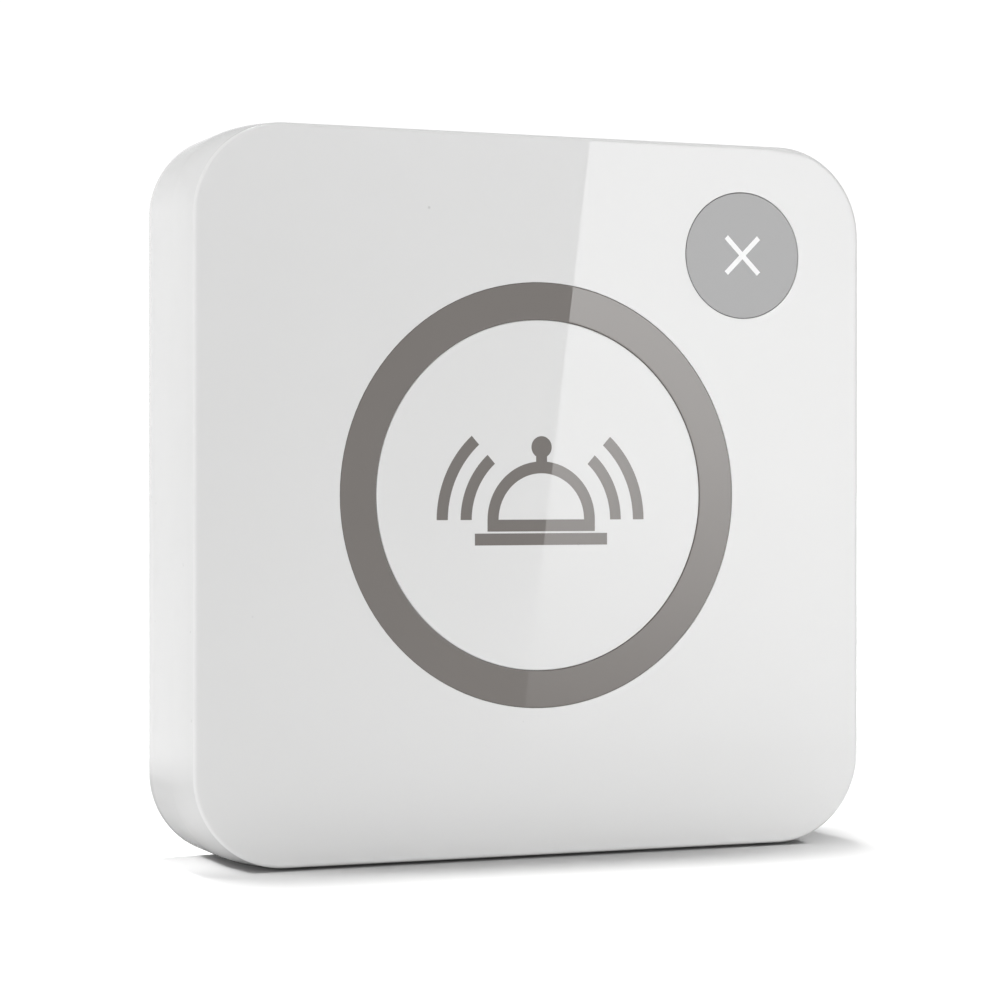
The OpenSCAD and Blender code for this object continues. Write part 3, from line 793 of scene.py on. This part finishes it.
def inner_features():
    """The ribs, catches, collars and screw bosses inside the front cover."""
    wall_in = HALF - WALL
    rib_places = []
    for side in (0, 90, 180, 270):
        turn = Matrix.Rotation(math.radians(side), 2)
        for along in RIB_PLACES:
            x, y = turn @ Vector((wall_in - RIB_DEPTH / 2, along))
            rib_places.append((x, y, (CEILING + PLATE_T) / 2, side))
    ribs = blocks_at(rib_places, shell_white, (RIB_DEPTH + 2 * ROOT, RIB_T, CEILING - PLATE_T + 0.3))
    catch_places = [(x, side * (wall_in - 0.35), CATCH_Z, 0) for x in HOOK_PLACES for side in (-1, 1)]
    catches = blocks_at(catch_places, shell_white, CATCH_SIZE)
    bore = BOARD_TOP + BOSS_BORE_DEPTH
    boss = turned(softened([
        (0, bore, 0), (BOSS_BORE_R, bore, 0), (BOSS_BORE_R, BOARD_TOP, 0.2), (BOSS_R, BOARD_TOP, 0.3),
        (BOSS_R, CEILING + ROOT, 0), (0, CEILING + ROOT, 0)]), count=48)
    for gusset in GUSSETS:
        prism(boss, bar(*gusset), CEILING - GUSSET_DEPTH, CEILING + 0.1)
    bosses = copied(boss, [(x, y, 0, 0) for x, y in BOSS_PLACES], shell_white)
    collars = bmesh.new()
    for centre, flange_r in (((0, 0), CALL_FLANGE_R), (CANCEL_AT, CANCEL_FLANGE_R)):
        inside = flange_r + GUIDE_GAP
        outside = inside + COLLAR_T
        turn_profile(collars, softened([
            (inside, CEILING + ROOT, 0), (inside, CEILING - COLLAR_DEPTH, 0.3),
            (outside, CEILING - COLLAR_DEPTH, 0.3), (outside, CEILING + ROOT, 0)],
            closed=True, steps=3), centre, closed=True)
    return ribs, catches, bosses, to_mesh(collars, "collars")


def build_trim_ring():
    top = BODY_D - RING_SUNK
    profile = softened([(RING_HOLE_R, RING_SEAT, 0), (RING_R, RING_SEAT, 0), (RING_R, top, 0.1),
                        (RING_HOLE_R, top, 0.12)], closed=True)
    ring = turned(profile, count=192, closed=True)
    to_piece(ring, "ring", ring_taupe, "taupe_ring", "trim_ring")


def cap_profile(radius, flange_radius, edge):
    """Half the section of a cap, with its rounded edge, its flange and the post that meets the switch."""
    top = BODY_D - INK
    under = BODY_D - CAP_SKIN
    foot = FLANGE_TOP - FLANGE_T
    skirt = radius - SKIRT_T
    return softened([
        (0, top, 0), (radius, top, edge), (radius, FLANGE_TOP, 0), (flange_radius, FLANGE_TOP, 0.15),
        (flange_radius, foot, 0.15), (skirt, foot, 0.15), (skirt, under, 0), (POST_R, under, 0.3),
        (POST_R, POST_LOW, 0.3), (0, POST_LOW, 0)], steps=6)


def build_caps():
    call = turned(cap_profile(CALL_R, CALL_FLANGE_R, CAP_EDGE), count=192)
    root = BODY_D - CAP_SKIN + ROOT
    pin = softened([(0, root, 0), (PIN_R, root, 0), (PIN_R, PIN_LOW, 0.3), (0, PIN_LOW, 0)])
    for turn in PIN_TURNS:
        a = math.radians(turn)
        turn_profile(call, pin, (PIN_SPACING_R * math.cos(a), PIN_SPACING_R * math.sin(a)), count=32)
    to_piece(call, "call_cap", cap_white, "white_shell", "call_button", body="call_key")
    cancel = turned(cap_profile(CANCEL_R, CANCEL_FLANGE_R, SMALL_CAP_EDGE), CANCEL_AT)
    to_piece(cancel, "cancel_cap", cap_grey, "grey_cap", "cancel_button", body="cancel_key")


# ------------------------------
# Printed signs: a counter bell with sound waves, and a plain cross

STROKE = 1.4
BELL_AT = (0, -2.9)
BELL_R = 6.2
BASE_W = 17
BASE_DOWN = 2.3
STEM_UP = 7.2
KNOB_UP = 8.6
KNOB_R = 1.3
WAVE_RADII = (9.6, 12.6)
WAVE_STARTS = (0, 132)
WAVE_SPAN = 48
CROSS_ARM = 6.2
CROSS_STROKE = 0.62
# How much lower a stroke ends that crosses another one, so that no two faces lie in one plane
STAGGER = 0.001


def arc_band(radius, stroke, start, end, centre=(0, 0), steps=48):
    """The outline of a stroke that follows an arc, in degrees."""
    angles = [math.radians(start + (end - start) * k / steps) for k in range(steps + 1)]
    outer, inner = [[Vector((r * math.cos(a), r * math.sin(a))) for a in angles]
                    for r in (radius + stroke / 2, radius - stroke / 2)]
    return [p + Vector(centre) for p in outer + inner[::-1]]


def bar(length, stroke, centre=(0, 0), turn=0):
    half_l, half_s = length / 2, stroke / 2
    spin = Matrix.Rotation(math.radians(turn), 2)
    return [spin @ Vector(p) + Vector(centre)
            for p in ((-half_l, -half_s), (half_l, -half_s), (half_l, half_s), (-half_l, half_s))]


def build_signs():
    low = BODY_D - INK - INK_SUNK
    x, y = BELL_AT
    bm = bmesh.new()
    prism(bm, arc_band(BELL_R, STROKE, 0, 180, BELL_AT), low, BODY_D)
    prism(bm, bar(2 * BELL_R + STROKE, STROKE, (x, y - STROKE / 2 + 0.02)), low, BODY_D - STAGGER)
    prism(bm, bar(BASE_W, STROKE, (x, y - BASE_DOWN)), low, BODY_D)
    prism(bm, bar(STROKE, STROKE, (x, y + STEM_UP)), low, BODY_D - STAGGER)
    prism(bm, circle(KNOB_R, (x, y + KNOB_UP), 48), low, BODY_D)
    for radius in WAVE_RADII:
        for start in WAVE_STARTS:
            prism(bm, arc_band(radius, STROKE, start, start + WAVE_SPAN, BELL_AT), low, BODY_D)
    to_piece(bm, "call_sign", ink_taupe, "taupe_ring", body="call_key")
    bm = bmesh.new()
    prism(bm, bar(CROSS_ARM, CROSS_STROKE, CANCEL_AT, 45), low, BODY_D)
    prism(bm, bar(CROSS_ARM, CROSS_STROKE, CANCEL_AT, 135), low, BODY_D - STAGGER)
    to_piece(bm, "cancel_sign", ink_white, "white_shell", body="cancel_key")


# ------------------------------
# The electronics

def build_screws():
    head_z = BOARD_Z - SCREW_HEAD_H
    shank = [(THREAD_R, BOARD_Z)]
    for k in range(THREADS):
        z = BOARD_Z + 1.7 + k * THREAD_PITCH
        shank += [(CORE_R, z), (THREAD_R, z + 0.2)]
    shank += [(0.7, BOARD_Z + 5.9), (0, BOARD_Z + 6.0)]
    head = softened([(0, head_z, 0), (SCREW_HEAD_R, head_z, 0.5), (SCREW_HEAD_R, BOARD_Z, 0.1),
                     (THREAD_R, BOARD_Z, 0)], steps=4)
    screw = to_mesh(turned(head[:-1] + [Vector(p) for p in shank], count=40), "screw")
    cross = [prism_mesh(head_z - 1, head_z + 0.7 + turn / 1000, bar(2.2, 0.55, turn=turn))
             for turn in (0, 90)]
    places = [(x, y, 0, 20 + 25 * k) for k, (x, y) in enumerate(BOSS_PLACES)]
    all_four = copied(drawing_of(cut_out(screw, *cross)), places, screw_zinc)
    to_piece(drawing_of(all_four), "screws", screw_zinc, "spring_steel", "board_screws")


def build_chips():
    """The encoder, the transistor, and the chip resistors and capacitors with their tinned ends."""
    x, y = ENCODER_AT
    case = soft_block(bar(*ENCODER_SIZE, ENCODER_AT), BOARD_TOP + 0.15, BOARD_TOP + 1.65, 0.18)
    dimple = prism_mesh(BOARD_TOP + 1.55, BOARD_TOP + 3, circle(0.4, (x - 3.5, y - 1.1), 24))
    to_piece(drawing_of(cut_out(case, dimple)), "encoder", chip_black, "chip_black", "encoder_chip")
    feet = [(x + (k - 3) * LEAD_PITCH, y + side * 2.45, BOARD_TOP, 0) for k in range(7) for side in (-1, 1)]
    knees = [(px, py - math.copysign(0.4, py - y), pz, 0) for px, py, pz, _ in feet]
    tx, ty = TRANSISTOR_AT
    feet += [(tx + dx, ty + dy, BOARD_TOP, 0) for dx, dy in ((-0.95, -0.95), (0.95, -0.95), (0, 0.95))]
    leads = drawing_of(blocks_at(feet, bright_tin, (0.42, 1.0, 0.22), 0.11),
                       blocks_at(knees, bright_tin, (0.42, 0.3, 0.9), 0.45))
    to_piece(leads, "chip_leads", bright_tin, "cell_steel")
    transistor = bar(*TRANSISTOR_SIZE, TRANSISTOR_AT)
    transistor = drawing_of(soft_block(transistor, BOARD_TOP + 0.1, BOARD_TOP + 1.1, 0.12))
    to_piece(transistor, "transistor", chip_black, "chip_black", "radio_transistor")
    places = [(x, y, BOARD_TOP, 0) for x, y in CHIP_PLACES]
    bodies = blocks_at(places, chip_ceramic, (1.3, 1.2, 0.5), 0.3)
    to_piece(drawing_of(bodies), "chip_bodies", chip_ceramic, "ceramic", "small_components")
    ends = [blocks_at(places, bright_tin, (0.36, 1.25, 0.6), 0.3, side * 0.82) for side in (-1, 1)]
    pads = [blocks_at(places, bright_tin, (0.7, 1.5, 0.04), 0.02, side * 1.15) for side in (-1, 1)]
    to_piece(drawing_of(*ends, *pads), "chip_ends", bright_tin, "cell_steel")


def build_antenna():
    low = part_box("antenna_coil")[0]
    wire_r, coil_r, length = 0.4, 2.1, 16.0
    leg = coil_r + wire_r + 0.3
    centre = (low.x / MM + wire_r + coil_r, -length / 2, BOARD_TOP + coil_r + wire_r + 0.3)
    wire = made_by(COIL, [(0, 0, 0, 0)], Turns=10.0, Coil_Radius=coil_r, Coil_Length=length,
                   Wire_Radius=wire_r, Leg_Length=leg, Centre=centre, Material=coil_copper)
    to_piece(drawing_of(wire), "coil", coil_copper, "copper_wire", "antenna_coil")


def build_switch(name, centre):
    """A push switch's black case with its four tinned legs."""
    x, y = centre
    case = soft_block(bar(SWITCH_W, SWITCH_W, centre), BOARD_TOP, BOARD_TOP + SWITCH_H, 0.15)
    well = prism_mesh(BOARD_TOP + 0.9, BOARD_TOP + 5, circle(2.3, centre, 48))
    pegs = prism_mesh(BOARD_TOP + SWITCH_H - 0.1, BOARD_TOP + 5, *(
        circle(0.35, (x + dx, y + dy), 16) for dx in (-2.3, 2.3) for dy in (-2.3, 2.3)))
    case = drawing_of(cut_out(case, well, pegs))
    to_piece(case, name + "_case", moulded_black, "switch_black", name + "_housing")
    places = [(x + dx, y + dy, BOARD_TOP, 0) for dx in (-3.7, 3.7) for dy in (-2.25, 2.25)]
    legs = blocks_at(places, bright_tin, (1.4, 0.8, 0.3), 0.15)
    to_piece(drawing_of(legs), name + "_legs", bright_tin, "spring_steel")


def build_cell():
    """The coin cell: its steel can, the gasket round its edge and the smaller pole."""
    low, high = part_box("coin_cell")
    can_r = (high.x - low.x) / 2 / MM
    base = BODY_D / 2 - high.y / MM
    top = base + (high.y - low.y) / MM
    can = softened([(0, base, 0), (can_r, base, 0.8), (can_r, top - 0.5, 0.7), (CELL_LIP_R, top - 0.5, 0),
                    (CELL_LIP_R, base + 1, 0), (0, base + 1, 0)])
    to_piece(turned(can, BATTERY_AT, count=96), "cell_can", cell_steel, "cell_steel", "coin_cell")
    gasket = [Vector(p) for p in (
        (GASKET_BORE_R, base + 1.1), (GASKET_R, base + 1.1),
        (GASKET_R, top - 0.46), (GASKET_BORE_R, top - 0.4))]
    to_piece(turned(gasket, BATTERY_AT, count=96, closed=True), "cell_gasket", gasket_blue, "seal_rubber")
    pole = softened([(0, base + 1.2, 0), (POLE_R, base + 1.2, 0), (POLE_R, top, 0.5), (0, top, 0)])
    to_piece(turned(pole, BATTERY_AT, count=96), "cell_pole", cell_steel, "cell_steel")


build_front_cover()
build_trim_ring()
build_caps()
build_signs()
build_screws()
build_chips()
build_antenna()
build_switch("call_switch", (0, 0))
build_switch("cancel_switch", tuple(CANCEL_AT))
build_cell()

# ------------------------------
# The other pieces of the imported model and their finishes

FINISHES = {
    "rear_cover": back_white, "battery_door": back_white, "door_seal": seal_rubber,
    "call_switch_plunger": moulded_black, "cancel_switch_plunger": moulded_black,
    "call_switch_frame": spring_steel, "cancel_switch_frame": spring_steel,
    "call_switch_dome": spring_steel, "cancel_switch_dome": spring_steel,
    "circuit_board": board_laminate, "resonator_can": cell_steel, "battery_holder": moulded_black,
    "battery_contact_positive": contact_brass, "battery_contact_negative": contact_brass,
}
# How wide the edges of a moulded or pressed piece are rounded, in millimetres
EDGE_ROUNDING = {
    "rear_cover": 0.15, "battery_door": 0.15, "circuit_board": 0.08, "resonator_can": 0.12,
    "battery_holder": 0.12, "call_switch_plunger": 0.12, "cancel_switch_plunger": 0.12,
    "call_switch_frame": 0.04, "cancel_switch_frame": 0.04,
    "battery_contact_positive": 0.05, "battery_contact_negative": 0.05,
}
for node_name, finish in FINISHES.items():
    set_material(nodes[node_name].data, finish)
for node_name, width in EDGE_ROUNDING.items():
    weld = nodes[node_name].modifiers.new("weld", "WELD")
    weld.merge_threshold = 1e-6
    rounding = nodes[node_name].modifiers.new("rounded edges", "BEVEL")
    rounding.limit_method = "ANGLE"
    rounding.angle_limit = ROUNDED_ANGLE
    rounding.width = width * MM
    rounding.segments = 2

# ------------------------------
# Floor and studio light

FLOOR_W = 30.0
# How bright the paper is to bounced light and to mirrored rays, and a painted shade that mirrored rays alone
# see: its centre by the lower left corner, and the distances from it between which the paper goes from the
# near, shaded tone to the far tone
FLOOR_BOUNCE = 0.66
FLOOR_IN_GLOSS = 0.86
PAINTED_SHADE_TONE_IN_GLOSS = 0.2
PAINTED_SHADE_AT = (-0.035, 0.025, 0)
NEAR_FLOOR = 0.045
FAR_FLOOR = 0.11
# The world's strength to the camera and to level mirrored rays, to steep mirrored rays, and as a
# light; and how steeply a mirrored ray rises where the dimming begins and where it ends
WORLD_SEEN = 1.05
WORLD_OVERHEAD = 0.62
WORLD_LIGHT = 0.45
DIMMED_FROM = 0.13
DIMMED_TO = 0.32


def build_floor():
    """Plain paper, darker to bounced light than to the camera, with a painted shade by the lower left corner
    that only mirrored rays see.
    """
    mesh = bpy.data.meshes.new("floor")
    w = FLOOR_W / 2
    mesh.from_pydata([(-w, -w, 0), (w, -w, 0), (w, w, 0), (-w, w, 0)], [], [(0, 1, 2, 3)])
    floor = new_object("floor", mesh)
    material, tree, surface = new_material("floor paper")
    coords = object_coords(tree)
    paper = spread(tree, noise_at(tree, coords, 3, 2), 0.3, 0.7, 0.49, 0.51)
    path = add_node(tree, "ShaderNodeLightPath").outputs
    # Painted shade: to mirrored rays the paper darkens towards a point behind the lower left corner, which
    # that corner then reflects
    away = add_node(tree, "ShaderNodeVectorMath", {0: coords, 1: PAINTED_SHADE_AT}, operation="DISTANCE")
    in_gloss = spread(tree, away.outputs["Value"], NEAR_FLOOR, FAR_FLOOR,
                      PAINTED_SHADE_TONE_IN_GLOSS - FLOOR_BOUNCE, FLOOR_IN_GLOSS - FLOOR_BOUNCE)
    in_gloss = times(tree, path["Is Glossy Ray"], in_gloss)
    dimmed = maths(tree, "ADD", in_gloss, FLOOR_BOUNCE)
    tone = times(tree, paper, maths(tree, "MAXIMUM", path["Is Camera Ray"], dimmed))
    paint = add_node(tree, "ShaderNodeCombineColor", {"Red": tone, "Green": tone, "Blue": tone})
    fill_inputs(tree, surface, {
        "Base Color": paint.outputs["Color"], "Roughness": 0.9, "Specular IOR Level": 0.1})
    mesh.materials.append(material)
    return floor


def new_light(name, kind, power, in_gloss=False, **settings):
    data = bpy.data.lights.new(name, kind)
    data.energy = power
    for key, value in settings.items():
        setattr(data, key, value)
    light = new_object(name, data)
    light.visible_glossy = in_gloss
    return light


def aim(light, place, target):
    light.location = place
    light.rotation_euler = (Vector(target) - light.location).to_track_quat("-Z", "Y").to_euler()


def sun_light(name, tilt_back, tilt_left, spread_angle, strength):
    """A soft light from above, leaning over the object from the back and the left, in degrees."""
    light = new_light(name, "SUN", strength, in_gloss=True, angle=math.radians(spread_angle))
    light.rotation_euler = (math.radians(-tilt_back), math.radians(-tilt_left), 0)
    return light


def spot_light(name, place, target, cone, power, soft_size=0.05):
    """A spot with a wholly soft cone that doesn't show in the gloss."""
    light = new_light(name, "SPOT", power, spot_size=math.radians(cone), spot_blend=1,
                      shadow_soft_size=soft_size)
    aim(light, place, target)
    return light


def build_world():
    """A white studio: pure white to the camera, dimmer overhead in the gloss, and dim as a light."""
    world = bpy.data.worlds.new("studio")
    bpy.context.scene.world = world
    world.use_nodes = True
    tree = world.node_tree
    tree.nodes.clear()
    path = add_node(tree, "ShaderNodeLightPath").outputs
    height = parts_of(tree, add_node(tree, "ShaderNodeTexCoord").outputs["Generated"])["Z"]
    mirrored_world = spread(tree, height, DIMMED_FROM, DIMMED_TO, WORLD_SEEN, WORLD_OVERHEAD)
    to_camera = times(tree, path["Is Camera Ray"], WORLD_SEEN)
    seen, shed = [
        add_node(tree, "ShaderNodeBackground", {"Color": (1, 1, 1, 1), "Strength": strength})
        for strength in (maths(tree, "MAXIMUM", mirrored_world, to_camera), WORLD_LIGHT)]
    choose = add_node(tree, "ShaderNodeMixShader", {
        "Fac": maths(tree, "MAXIMUM", path["Is Camera Ray"], path["Is Glossy Ray"]),
        1: shed.outputs["Background"], 2: seen.outputs["Background"]})
    add_node(tree, "ShaderNodeOutputWorld", {"Surface": choose.outputs["Shader"]})


# The straight edge of the gloss on the face, and the right edge of the face, in pixels
GLOSS_TOP = (590, 140)
GLOSS_BOTTOM = (525, 708)
FACE_RIGHT = ((862, 150), (862, 840))
# The card's plane, how far it reaches past what it lights, in metres, and its radiance
CARD_Y = -0.14
CARD_OVER = 0.004
CARD_UNDER = 0.012
CARD_RADIANCE = 5.15
# How the gloss fades down the face: rows of the photograph and the card's strength there
GLOSS_FADE = ((140, 1.0), (300, 0.96), (440, 0.76), (560, 0.47), (660, 0.22), (720, 0.11), (800, 0.0))


def on_face(pixel):
    """The point of the face plane that the camera sees at a pixel of the 1000 x 1000 image."""
    focal = LENS / SENSOR * 1000
    ray = camera.rotation_euler.to_matrix() @ Vector(((pixel[0] - 500) / focal, (500 - pixel[1]) / focal, -1))
    return camera.location + ray * (shell_low.y - camera.location.y) / ray.y


def mirrored(point):
    """Where the sight line that the face reflects at a point meets the plane of the card."""
    eye = Vector((camera.location.x, 2 * shell_low.y - camera.location.y, camera.location.z))
    ray = point - eye
    return eye + ray * (CARD_Y - eye.y) / ray.y


def build_light_card():
    """The soft card in front whose straight left edge shows in the gloss of the face."""
    top, bottom = mirrored(on_face(GLOSS_TOP)), mirrored(on_face(GLOSS_BOTTOM))
    along = (top - bottom).normalized()
    across = Vector((along.z, 0, -along.x))
    height = (top - bottom).length + CARD_OVER + CARD_UNDER
    width = max((mirrored(on_face(corner)) - bottom).dot(across) for corner in FACE_RIGHT) + CARD_OVER
    foot = bottom - along * CARD_UNDER + across * width / 2
    middle = foot + along * height / 2
    card = new_light("card", "AREA", CARD_RADIANCE * math.pi * width * height, in_gloss=True,
                     shape="RECTANGLE", size=width, size_y=height, use_nodes=True)
    tree = card.data.node_tree
    place = parts_of(tree, add_node(tree, "ShaderNodeNewGeometry").outputs["Parametric"])
    ramp = add_node(tree, "ShaderNodeValToRGB", {"Fac": place["Y"]})
    stops = ramp.color_ramp.elements
    stops.remove(stops[0])
    for k, (row, strength) in enumerate(reversed(GLOSS_FADE)):
        place_up = (mirrored(on_face((GLOSS_TOP[0], row))) - foot).dot(along) / height
        stop = stops.new(place_up) if k else stops[0]
        stop.position = place_up
        stop.color = (strength, strength, strength, 1)
    fill_inputs(tree, tree.nodes["Emission"], {"Strength": ramp.outputs["Color"]})
    card.matrix_world = Matrix((
        (-across.x, along.x, 0, middle.x),
        (0, 0, -1, middle.y),
        (-across.z, along.z, 0, middle.z),
        (0, 0, 0, 1)))
    for ray in ("visible_camera", "visible_diffuse", "visible_transmission", "visible_volume_scatter"):
        setattr(card, ray, False)


lit_floor = bpy.data.collections.new("lit floor")
lit_floor.objects.link(build_floor())
build_world()
sun_light("top", 7, 3, 14, 0.9)
floor_lights = [sun_light("floor sun", 8, 1, 12, 3.85), sun_light("floor side sun", 5, 42, 22, 2.0)]
key = new_light("key", "AREA", 10, shape="RECTANGLE", size=0.9, size_y=0.5)
aim(key, (-1.25, -0.65, 0.2), (0, 0, 0.043))
spot_light("front fill", (0.15, -1.6, 0.06), (0, 0, 0.06), 40, 8)
spot_light("foot spot", (0.2, -1.0, 0.02), (0.045, 0, -0.04), 13, 13.8)
spot_light("head spot", (0.1, -1.0, 0.1), (0.02, 0, 0.13), 13, 5)
spot_light("back fill", (-0.3, 1.6, 0.25), (0, 0, 0.043), 40, 14)
for name, place, target, cone in (
        ("left floor spot", (-0.185, 0, 0.14), (-0.046, 0.001, 0), 10),
        ("right floor spot", (0.19, -0.02, 0.14), (0.052, -0.012, 0), 11)):
    floor_lights.append(spot_light(name, place, target, cone, 2.3, soft_size=0.009))
for light in floor_lights:
    light.light_linking.receiver_collection = lit_floor
build_light_card()
bpy.context.scene.view_settings.view_transform = "Standard"
